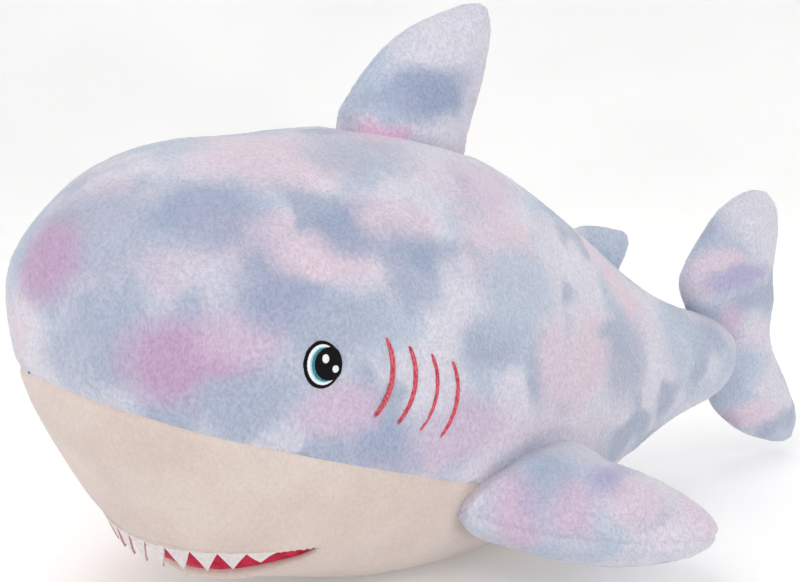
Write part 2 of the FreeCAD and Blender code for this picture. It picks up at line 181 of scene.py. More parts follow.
def pile_relief(points, normals, amount=1.0):
    """Moves points out and in as the pile clumps, finest along the lie of the pile."""
    lie = points * np.array([1.0, 0.62, 1.0])
    fine = cell_noise(lie, 2.6 * MM, 1)
    medium = cell_noise(points, 7 * MM, 2)
    broad = cell_noise(points, 42 * MM, 3)
    height = PILE * (fine * 0.8 + medium * 0.5) + broad * 1.3 * MM
    return points + normals * (height * amount)[:, None]


# ------------------------------------------------------------------ trunk surface

def trunk_rows():
    """The imported skin, and the ray centre and lean from -Y for each row of the trunk grid, nose to tail."""
    low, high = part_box("flank_cover_left")
    nose = low[1] + NOSE_ROUND
    tail = high[1] - TAIL_ROUND
    middle = (high[2] + low[2]) / 2
    skin = surface_of("flank_cover_left", "flank_cover_right", "belly_panel")

    def centre_at(y):
        top = cast_in(skin, (0, y, middle / 2), (0, 0, 1))[2]
        bottom = cast_in(skin, (0, y, middle), (0, 0, -1))[2]
        return np.array([0, y, (top + bottom) / 2])

    rows = []
    nose_steps = int(NOSE_ROUND * math.pi / 2 * 1.3 / GRID)
    for step in range(nose_steps):
        rows.append((centre_at(nose), math.pi / 2 * (step + 0.5) / nose_steps))
    trunk_steps = int((tail - nose) / GRID)
    for step in range(trunk_steps + 1):
        rows.append((centre_at(nose + (tail - nose) * step / trunk_steps), math.pi / 2))
    tail_steps = int(TAIL_ROUND * math.pi / 2 / GRID)
    for step in range(tail_steps):
        rows.append((centre_at(tail), math.pi / 2 * (1 + (step + 0.5) / tail_steps)))
    return skin, rows


def in_mouth(point):
    """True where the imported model's mouth slot opens the skin."""
    return point[1] < MOUTH_Y + 3 * MM and 35 * MM < point[2] < LIP_Z + 2 * MM


def sample_trunk():
    """Left half of the trunk as a grid of points, from the ridge round to the keel."""
    skin, rows = trunk_rows()
    girth = 420 * MM
    columns = int(girth / GRID)
    reach = np.full((len(rows), columns), np.nan)
    directions = np.zeros((len(rows), columns, 3))
    centres = np.array([centre for centre, _ in rows])
    for i, (centre, lean) in enumerate(rows):
        for j in range(columns):
            angle = math.pi * j / (columns - 1)
            side = math.sin(lean)
            direction = (side * math.sin(angle), -math.cos(lean), side * math.cos(angle))
            directions[i, j] = direction
            hit = cast_in(skin, centre, direction)
            if hit is not None and not in_mouth(hit):
                reach[i, j] = np.linalg.norm(hit - centre)
    known = ~np.isnan(reach)
    for i in range(len(rows)):
        here = known[i]
        reach[i] = np.interp(np.arange(columns), np.nonzero(here)[0], reach[i, here])
    for _ in range(300):
        middle = reach.copy()
        middle[1:-1, 1:-1] = (reach[:-2, 1:-1] + reach[2:, 1:-1] + reach[1:-1, :-2] + reach[1:-1, 2:]) / 4
        middle[1:-1, -1] = (reach[:-2, -1] + reach[2:, -1] + 2 * reach[1:-1, -2]) / 4
        reach = np.where(known, reach, middle)
    reach = blur(blur(reach, 6, 0), 6, 1)
    points = centres[:, None, :] + directions * reach[:, :, None]
    points = blur(points, 8, 0)
    points = fill_chin(points)
    points[:, 0, 0] = 0
    points[:, -1, 0] = 0
    return points


def fill_chin(trunk):
    """Pushes the lower jaw out and draws the snout above it in, as stuffing does round a mouth."""
    away = trunk - np.array([0, MOUTH_Y, 0])
    away[..., 2] = 0
    reach = np.linalg.norm(away, axis=2, keepdims=True)
    front = smooth_step(MOUTH_Y - trunk[..., 1], 0, 60 * MM)
    jaw = np.exp(-((trunk[..., 2] - 27 * MM) / (16 * MM)) ** 2) * smooth_step(trunk[..., 2], 0, 12 * MM)
    snout = np.exp(-((trunk[..., 2] - 92 * MM) / (34 * MM)) ** 2)
    push = front * (10 * MM * jaw - 3 * MM * snout)
    return trunk + away / np.maximum(reach, 1 * MM) * push[..., None]


def seam_height(y):
    """Height of the flank and belly seam at each y."""
    return np.interp(y, BELLY_SEAM[:, 0], BELLY_SEAM[:, 1])


def seam_columns(trunk):
    """Where each row of the trunk grid crosses the belly seam, as a fraction of a column."""
    last = trunk.shape[1] - 1
    crossings = np.full(trunk.shape[0], float(last))
    for i, row in enumerate(trunk):
        above = row[:, 2] - seam_height(row[:, 1])
        if row[-1, 1] > BELLY_SEAM[-1, 0] or above.min() > 0:
            continue
        j = int(np.argmax(above < 0))
        crossings[i] = j - 1 + above[j - 1] / (above[j - 1] - above[j])
    return crossings


def pick(grid, row, columns):
    """Reads a row of a grid at fractions of a column."""
    lower = np.clip(np.floor(columns).astype(int), 0, grid.shape[1] - 2)
    part = (columns - lower)[:, None]
    return grid[row, lower] * (1 - part) + grid[row, lower + 1] * part


def seam_dent(distance, width=SEAM_WIDTH, depth=SEAM_DEPTH):
    """How far a sewn seam pulls the cloth in, at a distance from it."""
    return depth * np.exp(-(distance / width) ** 2)


def spread_rows(counts, first, last):
    """Evenly spaced fractions from first to last."""
    return first + (last - first) * np.linspace(0, 1, counts)


def mirrored(points):
    return points * np.array([-1.0, 1.0, 1.0])


def flank_skin(trunk, normals, crossings, side, finder):
    """One dyed flank, ridge seam to belly seam: side is 1 for the left and -1 for the right."""
    columns = int(crossings[trunk.shape[0] // 3]) + 1
    grid = np.zeros((trunk.shape[0], columns, 3))
    facing = np.zeros_like(grid)
    for i in range(trunk.shape[0]):
        places = spread_rows(columns, 0, crossings[i])
        grid[i] = pick(trunk, i, places)
        facing[i] = pick(normals, i, places)
    mirror = np.array([side, 1, 1])
    flat = grid.reshape(-1, 3) * mirror
    towards = facing.reshape(-1, 3) * mirror
    towards = towards / np.linalg.norm(towards, axis=1, keepdims=True)
    step = np.linalg.norm(np.diff(grid, axis=1), axis=2)
    to_ridge = np.concatenate([np.zeros((grid.shape[0], 1)), np.cumsum(step, axis=1)], axis=1)
    to_belly = to_ridge[:, -1:] - to_ridge
    has_belly = (crossings < trunk.shape[1] - 1)[:, None]
    dent = seam_dent(to_ridge, depth=0.5 * SEAM_DEPTH)
    dent = dent + np.where(has_belly, seam_dent(to_belly), seam_dent(to_belly, depth=0.5 * SEAM_DEPTH))
    to_fin = np.array([finder.find(point)[2] for point in flat])
    dent = dent.reshape(-1, 1) + seam_dent(to_fin, 5 * MM, 2 * MM)[:, None]
    shaped = pile_relief(flat, towards) - towards * dent
    return shaped, flat, orient(shaped, grid_faces(*grid.shape[:2]), towards)


def belly_skin(trunk, normals, crossings, finder):
    """The white underside from seam to seam, with the mouth cut out of it."""
    rows = np.nonzero(crossings < trunk.shape[1] - 1)[0]
    half = 90
    grid = np.zeros((len(rows), 2 * half + 1, 3))
    facing = np.zeros_like(grid)
    for k, i in enumerate(rows):
        places = spread_rows(half + 1, crossings[i], trunk.shape[1] - 1)
        left = pick(trunk, i, places)
        left_facing = pick(normals, i, places)
        grid[k, :half + 1] = left
        grid[k, half:] = mirrored(left)[::-1]
        facing[k, :half + 1] = left_facing
        facing[k, half:] = mirrored(left_facing)[::-1]
    facing[:, half, 0] = 0
    flat = grid.reshape(-1, 3)
    towards = facing.reshape(-1, 3)
    towards = towards / np.linalg.norm(towards, axis=1, keepdims=True)
    step = np.linalg.norm(np.diff(grid, axis=1), axis=2)
    run = np.concatenate([np.zeros((len(rows), 1)), np.cumsum(step, axis=1)], axis=1)
    to_seam = np.minimum(run, run[:, -1:] - run)
    to_fin = np.array([finder.find(point)[2] for point in flat])
    dent = seam_dent(to_seam).reshape(-1, 1) + seam_dent(to_fin, 5 * MM, 2 * MM)[:, None]
    shaped = pile_relief(flat, towards, 0.6) - towards * dent
    low = mouth_gap(mouth_turn(flat))
    open_mouth = (flat[:, 1] < MOUTH_Y) & (flat[:, 2] < LIP_Z) & (flat[:, 2] > LIP_Z - low)
    faces = [face for face in grid_faces(*grid.shape[:2]) if not all(open_mouth[list(face)])]
    return shaped, flat, orient(shaped, faces, towards)


# ------------------------------------------------------------------ mouth

def mouth_turn(points):
    """Angle round the mouth's centre, 0 at the snout and a quarter turn at each corner."""
    return np.arctan2(points[:, 0], MOUTH_Y - points[:, 1])


def mouth_gap(turn):
    """Height of the mouth opening at an angle, or at each of several."""
    return MOUTH_GAP * np.clip(np.cos(turn), 0, 1) ** MOUTH_OPEN


def mouth_point(tree, turn, z):
    """Point and outward direction on the trunk, at an angle round the mouth and a height."""
    direction = np.array([math.sin(turn), -math.cos(turn), 0])
    centre = Vector((0, MOUTH_Y, z))
    hit, normal, _, _ = tree.ray_cast(centre + Vector(direction) * CAST, -Vector(direction), CAST)
    normal = np.array(normal)
    if normal @ direction < 0:
        normal = -normal
    return np.array(hit), normal


def lip_line(tree, lower, count=220, overrun=0.035):
    """Points and normals along the upper or lower lip, corner to corner."""
    points, normals = [], []
    for turn in np.linspace(-math.pi / 2 - overrun, math.pi / 2 + overrun, count):
        drop = mouth_gap(turn) if lower else 0
        point, normal = mouth_point(tree, turn, LIP_Z - drop)
        points.append(point)
        normals.append(normal)
    return np.array(points), np.array(normals)


def roll(points, normals, radius, sink, sides=14):
    """A rolled hem along a line on the trunk, thinner at its two ends."""
    count = len(points)
    along = np.gradient(points, axis=0)
    along /= np.linalg.norm(along, axis=1, keepdims=True)
    side = np.cross(normals, along)
    side /= np.linalg.norm(side, axis=1, keepdims=True)
    ends = np.linspace(0, 1, count)
    taper = 0.6 + 0.4 * smooth_step(np.minimum(ends, 1 - ends), 0, 0.12)
    rings = []
    for step in range(sides):
        angle = 2 * math.pi * step / sides
        offset = side * math.cos(angle) + normals * math.sin(angle)
        rings.append(points - normals * sink + offset * (radius * taper)[:, None])
    grid = np.stack(rings, axis=1)
    return grid.reshape(-1, 3), grid_faces(count, sides, closed=True)


def tooth_edge(turn):
    """Length of the felt zigzag below the lip at an angle: 1 at a tip and 0 at a notch."""
    place = (turn / TOOTH_SPAN + 0.5) * TOOTH_COUNT
    if place <= 0 or place >= TOOTH_COUNT:
        return 0.0
    return 1 - abs(2 * (place % 1) - 1)


def tooth_strip(tree):
    """The zigzag felt strip: front and back faces and a cut edge all round."""
    per_tooth = 16
    turns = np.linspace(-TOOTH_SPAN / 2, TOOTH_SPAN / 2, TOOTH_COUNT * per_tooth + 1)
    depth_steps = 9
    thick = 1.5 * MM
    front, back = [], []
    for turn in turns:
        shrink = 1 - 0.8 * (2 * abs(turn) / TOOTH_SPAN) ** 4
        length = 0.3 * MM + TOOTH_LENGTH * shrink * tooth_edge(turn)
        for step in range(depth_steps + 1):
            t = step / depth_steps
            z = LIP_Z + 0.6 * MM - t * (length + 0.6 * MM)
            point, normal = mouth_point(tree, turn, z)
            tangent = np.array([-math.cos(turn), -math.sin(turn), 0])
            normal = np.cross(tangent, np.cross(normal, tangent))
            proud = 0.9 * MM + 4.0 * MM * t * length / TOOTH_LENGTH
            front.append(point + normal * proud)
            back.append(point + normal * (proud - thick))
    columns = depth_steps + 1
    count = len(turns) * columns
    faces = grid_faces(len(turns), columns)
    tail = [tuple(reversed([index + count for index in face])) for face in faces]
    rim = []
    border = [row * columns + depth_steps for row in range(len(turns))]
    top = [row * columns for row in range(len(turns))][::-1]
    last = [(len(turns) - 1) * columns + step for step in range(depth_steps - 1, 0, -1)]
    loop = border + last + top + list(range(1, depth_steps))
    for a, b in zip(loop, loop[1:] + loop[:1]):
        rim.append((a, b, b + count, a + count))
    # Faces along the zigzag's lower cut edge take the second material, whose pink is a painted reflection of the
    # lining.
    cut_edge = [1 if number < len(turns) - 1 else 0 for number in range(len(rim))]
    indices = [0] * (len(faces) + len(tail)) + cut_edge
    return np.array(front + back), faces + tail + rim, indices


def lining_pocket(tree):
    """The crimson pocket behind the lips, deepest in its middle."""
    turns = np.linspace(-math.pi / 2 * 0.985, math.pi / 2 * 0.985, 200)
    steps = 22
    points = []
    for turn in turns:
        gap = mouth_gap(turn)
        for step in range(steps + 1):
            t = step / steps
            z = LIP_Z + 3 * MM - t * (gap + 6 * MM)
            point, normal = mouth_point(tree, turn, z)
            depth = 1 * MM + 2.5 * MM * math.sin(math.pi * t) ** 0.6 * min(1, gap / (8 * MM))
            points.append(point - normal * depth)
    points = np.array(points)
    folds = cell_noise(points * np.array([1, 1, 2.5]), 9 * MM, 5)
    points[:, 2] += folds * 0.7 * MM
    return points, grid_faces(len(turns), steps + 1)


# ------------------------------------------------------------------ embroidery

EYE_Y = -127.5 * MM
EYE_Z = 165 * MM
EYE_RADIUS = 11.6 * MM
EYE_TALL = 1.13                 # height of the eye over its width

# Stitched layers of an eye, back to front: name, thread, place back and up, half width and height, rise.
EYE_LAYERS = [
    ("ring", "black_thread", 0.0, 0.0, 1.0, EYE_TALL, 0.5),
    ("white", "white_thread", 0.0, 0.0, 0.85, 0.98, 0.7),
    ("rim", "cyan_thread", 0.04, 0.0, 0.75, 0.87, 0.8),
    ("iris", "teal_thread", 0.09, 0.0, 0.73, 0.83, 0.9),
    ("pupil", "black_thread", 0.32, 0.0, 0.82, 0.80, 1.1),
]
EYE_GLINTS = [(0.12, 0.27, 0.20, 0.23), (0.60, -0.27, 0.19, 0.19)]
GLINT_RISE = 1.4

GILL_COUNT = 4
GILL_FIRST = (-91 * MM, 153 * MM)
GILL_PITCH = 15 * MM
GILL_FALL = 6.5 * MM
GILL_CHORD = 43 * MM
GILL_BULGE = 7 * MM
GILL_LEAN = math.radians(14)


def cheek_frame(tree, side):
    """Centre, outward, back and up directions of the eye on one side, +1 for left."""
    start = Vector((side * CAST, EYE_Y, EYE_Z))
    hit, normal, _, _ = tree.ray_cast(start, Vector((-side, 0, 0)), CAST)
    normal = np.array(normal)
    if normal[0] * side < 0:
        normal = -normal
    back = np.cross([0, 0, 1], normal) * side
    back /= np.linalg.norm(back)
    up = np.cross(normal, back) * side
    return np.array(hit), normal, back, up


def on_cheek(tree, point, outward_direction):
    """Drops a point onto the trunk along a direction, and gives the trunk's normal there."""
    direction = Vector(outward_direction)
    hit, normal, _, _ = tree.ray_cast(Vector(point) + direction * 0.05, -direction, 0.1)
    normal = np.array(normal)
    if normal @ outward_direction < 0:
        normal = -normal
    return np.array(hit), normal


def stitched_disc(tree, eye, place, radii, rise, step=0.14 * MM, rings=18, spokes=84):
    """A satin-stitch patch on the eye's dome, with a rounded rim that meets what is under it."""
    centre, out, back, up = eye
    points = []
    for ring in range(rings + 1):
        t = ring / rings
        for spoke in range(spokes):
            angle = 2 * math.pi * spoke / spokes
            wobble = 1 + 0.012 * math.sin(31 * angle) * t ** 4
            x = (place[0] + radii[0] * t * wobble * math.cos(angle)) * EYE_RADIUS
            y = (place[1] + radii[1] * t * wobble * math.sin(angle)) * EYE_RADIUS
            x, y = inside_ring(x, y)
            hit, _ = on_cheek(tree, centre + back * x + up * y, out)
            dome = 0.6 * MM * (1 - (x * x + y * y) / (EYE_RADIUS * EYE_TALL) ** 2)
            height = rise * MM - step * t ** 20 - (0.6 * MM if ring == rings else 0)
            points.append(hit + out * (height + dome))
    return np.array(points), grid_faces(rings + 1, spokes, closed=True)


def inside_ring(x, y):
    """Keeps a stitched layer within the eye's black ring."""
    limit = 0.985 * EYE_RADIUS
    reach = math.hypot(x, y / EYE_TALL)
    if reach <= limit:
        return x, y
    return x * limit / reach, y * limit / reach


def gill_line(tree, number, side):
    """A raised band of slanted satin stitches along one gill arc."""
    radius = (GILL_CHORD ** 2 / 4 + GILL_BULGE ** 2) / (2 * GILL_BULGE)
    half = math.asin(GILL_CHORD / 2 / radius)
    middle = np.array([GILL_FIRST[0] + number * GILL_PITCH, GILL_FIRST[1] - number * GILL_FALL])
    bulge = np.array([math.cos(GILL_LEAN), -math.sin(GILL_LEAN)])
    centre = middle - bulge * (radius - GILL_BULGE)
    steps = 150
    sides = 10
    points = []
    for step in range(steps + 1):
        t = step / steps
        angle = -GILL_LEAN + half * (1 - 2 * t)
        y = centre[0] + radius * math.cos(angle)
        z = centre[1] + radius * math.sin(angle)
        hit, normal = on_cheek(tree, (side * 0.11, y, z), np.array([side, 0.0, 0.0]))
        along = np.array([0, -math.sin(angle), math.cos(angle)])
        across = np.cross(normal, along)
        across /= np.linalg.norm(across)
        swell = math.sin(math.pi * min(max(t, 0.012), 0.988)) ** 0.16
        stitch = 1 + 0.18 * abs(math.sin(math.pi * t * 30 + 0.4 * math.sin(40 * t)))
        wide = (1.45 - 0.1 * number) * MM * swell * stitch
        tall = 1.3 * MM * swell * stitch
        for corner in range(sides + 1):
            turn = math.pi * corner / sides
            slant = 0.5 * MM * math.cos(turn)
            points.append(hit + across * wide * math.cos(turn) + along * slant
                          + normal * (tall * math.sin(turn) - 0.2 * MM))
    return np.array(points), grid_faces(steps + 1, sides + 1)


# ------------------------------------------------------------------ fins

PECTORAL_DROOP = math.radians(14.5)


class Fin:
    """A fin's own frame, and its section at each distance along its span."""

    def __init__(self, nodes, origin, chord, span, first, last, hidden=(0, 0), plump=0.0, count=40):
        self.origin = np.array(origin, float)
        self.chord = np.array(chord, float)
        self.span = np.array(span, float)
        self.side = np.cross(self.chord, self.span)
        self.tree = surface_of(*nodes)
        self.heights = np.linspace(first, last, count)
        edges = np.array([self.edges(height) for height in self.heights])
        open_here = (self.heights < hidden[0]) | (self.heights > hidden[1])
        for column in range(2):
            edges[:, column] = np.interp(self.heights, self.heights[open_here], edges[open_here, column])
        faces = [self.faces(height, *edge) for height, edge in zip(self.heights, edges)]
        self.sizes = blur(np.column_stack([edges, np.array(faces)]), 6, 0)
        self.sizes += np.array([-plump, plump, 0, 0.6 * plump])

    def edges(self, height):
        """Leading and trailing edge at a height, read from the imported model."""
        base = self.origin + self.span * height + self.side * 0.05 * MM
        reach = Vector(self.chord) * CAST
        front = self.tree.ray_cast(Vector(base) - reach, Vector(self.chord), 2 * CAST)[0]
        rear = self.tree.ray_cast(Vector(base) + reach, -Vector(self.chord), 2 * CAST)[0]
        return (np.array(front) - base) @ self.chord, (np.array(rear) - base) @ self.chord

    def faces(self, height, lead, trail):
        """Middle and half thickness at a height, measured a little behind mid chord."""
        part = 0.3
        centre = self.origin + self.span * height
        centre = centre + self.chord * ((lead + trail) / 2 + part * (trail - lead) / 2)
        reach = Vector(self.side) * CAST
        over = self.tree.ray_cast(Vector(centre) + reach, -Vector(self.side), 2 * CAST)[0]
        under = self.tree.ray_cast(Vector(centre) - reach, Vector(self.side), 2 * CAST)[0]
        over = (np.array(over) - centre) @ self.side
        under = (np.array(under) - centre) @ self.side
        return (over + under) / 2, (over - under) / 2 / math.sqrt(1 - part ** 2)

    def section(self, height):
        """Sizes at a height, carried on straight below the first."""
        heights, sizes = self.heights, self.sizes
        if height < heights[0]:
            slope = (sizes[3] - sizes[0]) / (heights[3] - heights[0])
            return sizes[0] + slope * max(height - heights[0], -12 * MM)
        return np.array([np.interp(height, heights, column) for column in sizes.T])

    def point(self, height, angle, scale=1.0, pinch=1.0):
        lead, trail, middle, thick = self.section(height)
        along = (lead + trail) / 2 + (trail - lead) / 2 * scale * math.cos(angle)
        bow = math.copysign(abs(math.sin(angle)) ** 1.05, math.sin(angle))
        off = middle + thick * scale * pinch * bow
        return self.origin + self.span * height + self.chord * along + self.side * off


def tip_rows(fin, height, angles, towards):
    """Rows that round a fin off beyond a height, carrying on the slope of its edges there."""
    start = math.radians(45)
    step = 2 * MM
    here, before = fin.section(height), fin.section(height - towards * step)
    half, half_before = (here[1] - here[0]) / 2, (before[1] - before[0]) / 2
    slope = max((half_before - half) / step, 0.6)
    drift = (here[0] + here[1] - before[0] - before[1]) / 2 / step
    cap = half * math.tan(start) / (slope * math.cos(start))
    rows = []
    steps = 9
    for number in range(1, steps + 1):
        turn = start + (math.pi / 2 - start) * number / steps
        rise = cap * (math.sin(turn) - math.sin(start))
        scale = max(math.cos(turn) / math.cos(start), 0.01)
        move = fin.span * towards * rise + fin.chord * drift * rise
        rows.append([fin.point(height, angle, scale) + move for angle in angles])
    return rows


def fin_rows(fin, roots, angles, two_tips):
    """Grid rows from the root, or from a rounded lower tip, up to the rounded upper tip."""
    last = fin.heights[-1]
    rows = tip_rows(fin, roots[0], angles, -1)[::-1] if two_tips else []
    steps = int((last - min(roots)) / GRID)
    for step in range(steps + 1):
        t = step / steps
        row = []
        for root, angle in zip(roots, angles):
            height = root + (last - root) * t
            pinch = 1 if two_tips else 1 - 0.13 * math.exp(-((height - root) / (6 * MM)) ** 2)
            row.append(fin.point(height, angle, pinch=pinch))
        rows.append(row)
    return np.array(rows + tip_rows(fin, last, angles, 1))


def root_heights(fin, tree, angles, sink=3 * MM):
    """Height at which each line of the fin runs into the trunk."""
    heights = []
    for angle in angles:
        above = fin.point(0.0, angle) + fin.span * 45 * MM
        hit = tree.ray_cast(Vector(above), -Vector(fin.span), 0.12)[0]
        heights.append((np.array(hit) - fin.origin) @ fin.span - sink)
    return heights


def shape_fin(grid, rooted):
    """Seam dents along both edges, puckers near a sewn root, and the pile."""
    flat = grid.reshape(-1, 3)
    normals = grid_normals(grid).reshape(-1, 3)
    normals = outward(flat, normals, flat.mean(axis=0))
    step = np.linalg.norm(np.diff(grid, axis=1), axis=2)
    run = np.concatenate([np.zeros((grid.shape[0], 1)), np.cumsum(step, axis=1)], axis=1)
    to_seam = np.minimum(run, run[:, -1:] - run)
    dent = seam_dent(to_seam, width=2.4 * MM, depth=1.2 * SEAM_DEPTH).ravel()
    relief = -dent
    if rooted:
        climb = np.linalg.norm(np.diff(grid, axis=0), axis=2)
        up = np.concatenate([np.zeros((1, grid.shape[1])), np.cumsum(climb, axis=0)], axis=0).ravel()
        gather = cell_noise(flat * np.array([1, 1, 0.4]), 12 * MM, 8)
        relief = relief + gather * np.exp(-up / (15 * MM)) * 1.6 * MM
    return pile_relief(flat, normals) + normals * relief[:, None], flat, normals


def fin_covers(fin, names, tree=None):
    """The two sewn panels of a fin, each from the trailing to the leading edge over one face."""
    lead, trail = fin.sizes[0][:2]
    columns = max(int(1.15 * (trail - lead) / GRID), 34)
    covers = []
    for name, start in names:
        angles = start + np.linspace(0, math.pi, columns)
        roots = [fin.heights[0]] * columns if tree is None else root_heights(fin, tree, angles)
        rows = fin_rows(fin, roots, angles, tree is None)
        shaped, flat, normals = shape_fin(rows, tree is not None)
        faces = orient(shaped, grid_faces(*rows.shape[:2]), normals)
        covers.append(add_mesh(name, shaped, faces, ["dyed_plush"], rest=flat))
    return covers


# ------------------------------------------------------------------ materials

def dye(red, green, blue):
    """A colour named as a screen shows it, 0 to 255, as the shader's linear light."""
    linear = []
    for level in (red, green, blue):
        share = level / 255
        linear.append(share / 12.92 if share <= 0.04045 else ((share + 0.055) / 1.055) ** 2.4)
    return (*linear, 1.0)


class Finish:
    """A material with short ways to add nodes and join them."""

    def __init__(self, name):
        self.material = bpy.data.materials.new(name)
        self.material.use_nodes = True
        self.tree = self.material.node_tree
        self.shader = self.tree.nodes["Principled BSDF"]
        self.dyed_at = self.node("ShaderNodeAttribute", attribute_name="rest").outputs["Vector"]

    def node(self, kind, inputs=None, **settings):
        node = self.tree.nodes.new(kind)
        for name, value in settings.items():
            setattr(node, name, value)
        for name, value in (inputs or {}).items():
            self.put(node.inputs[name], value)
        return node

    def put(self, socket, value):
        if isinstance(value, bpy.types.NodeSocket):
            self.tree.links.new(value, socket)
        else:
            socket.default_value = value

    def set(self, **values):
        for name, value in values.items():
            self.put(self.shader.inputs[name.replace("_", " ")], value)

    def noise(self, size, detail=2.0, roughness=0.5, at=None, output="Fac"):
        """Noise whose lumps are about as wide as size."""
        inputs = {"Vector": at or self.dyed_at, "Scale": 1 / size, "Detail": detail, "Roughness": roughness}
        return self.node("ShaderNodeTexNoise", inputs).outputs[output]

    def ramp(self, value, low, high, start=0.0, end=1.0):
        inputs = {"Value": value, "From Min": low, "From Max": high, "To Min": start, "To Max": end}
        return self.node("ShaderNodeMapRange", inputs, interpolation_type="SMOOTHSTEP").outputs[0]

    def mix(self, share, under, over, kind="MIX"):
        node = self.node("ShaderNodeMix", {0: share, 6: under, 7: over}, data_type="RGBA", blend_type=kind)
        return node.outputs[2]

    def moved(self, at, amount, size):
        """The position pushed about by noise, so that edges drawn from it wander."""
        push = self.node("ShaderNodeVectorMath", {0: self.noise(size, 3.0, output="Color", at=at),
                                                  1: (0.5, 0.5, 0.5)}, operation="SUBTRACT").outputs[0]
        inputs = {0: push, 1: (amount, amount, amount), 2: at}
        return self.node("ShaderNodeVectorMath", inputs, operation="MULTIPLY_ADD").outputs[0]

    def blot(self, at, centre, radii, edge=0.5):
        """1 inside an ellipsoid and 0 outside, fading across its edge."""
        scale = tuple(1 / (radius * MM) for radius in radii)
        shift = tuple(-place / (radius * MM) for place, radius in zip(centre, radii))
        scaled = self.node("ShaderNodeVectorMath", {0: at, 1: scale, 2: shift}, operation="MULTIPLY_ADD")
        length = self.node("ShaderNodeVectorMath", {0: scaled.outputs[0]}, operation="LENGTH")
        return self.ramp(length.outputs["Value"], 1 + edge, 1 - edge)

    def fibres(self):
        """Height of the pile: short strokes that lie in swirls, in clumps."""
        swirl = self.moved(self.dyed_at, 16 * MM, 32 * MM)
        combed = self.node("ShaderNodeVectorMath", {0: swirl, 1: (1.0, 0.55, 0.28)}, operation="MULTIPLY")
        strokes = self.noise(0.8 * MM, 2.0, 0.6, at=combed.outputs[0])
        clumps = self.noise(2.4 * MM, 3.0, 0.6, at=swirl)
        return strokes, clumps

    def pile_painted_shade_and_highlight(self, colour, dark, light):
        """A colour multiplied by a tone from the pile's height: painted shade in the hollows between the fibres
        and a painted highlight on their tips.
        """
        strokes, clumps = self.fibres()
        both = self.node("ShaderNodeMath", {0: strokes, 1: clumps}, operation="ADD").outputs[0]
        painted_light_tone = self.ramp(both, 0.7, 1.3, dark, light)
        grey = self.node("ShaderNodeCombineColor", {0: painted_light_tone, 1: painted_light_tone, 2: painted_light_tone}).outputs[0]
        return self.mix(1.0, colour, grey, "MULTIPLY")

    def pile_bump(self, strength):
        strokes, clumps = self.fibres()
        inner = self.node("ShaderNodeBump", {"Height": clumps, "Strength": strength, "Distance": 1.0 * MM})
        outer = self.node("ShaderNodeBump", {"Height": strokes, "Strength": strength, "Distance": 0.45 * MM,
                                             "Normal": inner.outputs[0]})
        self.set(Normal=outer.outputs[0])

    def bump(self, layers):
        """Bump built from layers of noise: size, strength and depth of each."""
        normal = None
        for size, detail, strength, depth in layers:
            inputs = {"Height": self.noise(size, detail, 0.6), "Strength": strength, "Distance": depth}
            if normal is not None:
                inputs["Normal"] = normal
            normal = self.node("ShaderNodeBump", inputs).outputs[0]
        self.set(Normal=normal)


PALE = dye(216, 214, 226)
BLUE = dye(172, 181, 202)
DEEP_BLUE = dye(150, 164, 193)
SKY = dye(186, 197, 215)
PINK = dye(220, 203, 217)
LILAC = dye(208, 188, 210)
MAUVE = dye(190, 161, 193)
PERIWINKLE = dye(176, 174, 207)
ROSE = dye(228, 196, 221)

# Parts that the dye was dropped on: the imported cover, and the side that it came from.
DYED_PARTS = {
    "trunk": ("flank_cover_left", (1, 0, 0)),
    "dorsal": ("dorsal_fin_cover_left", (1, 0, 0)),
    "rear": ("rear_fin_cover_left", (1, 0, 0)),
    "tail": ("tail_fin_cover_left", (1, 0, 0)),
    "pectoral": ("pectoral_top_cover_left", (0, 0, 1)),
}

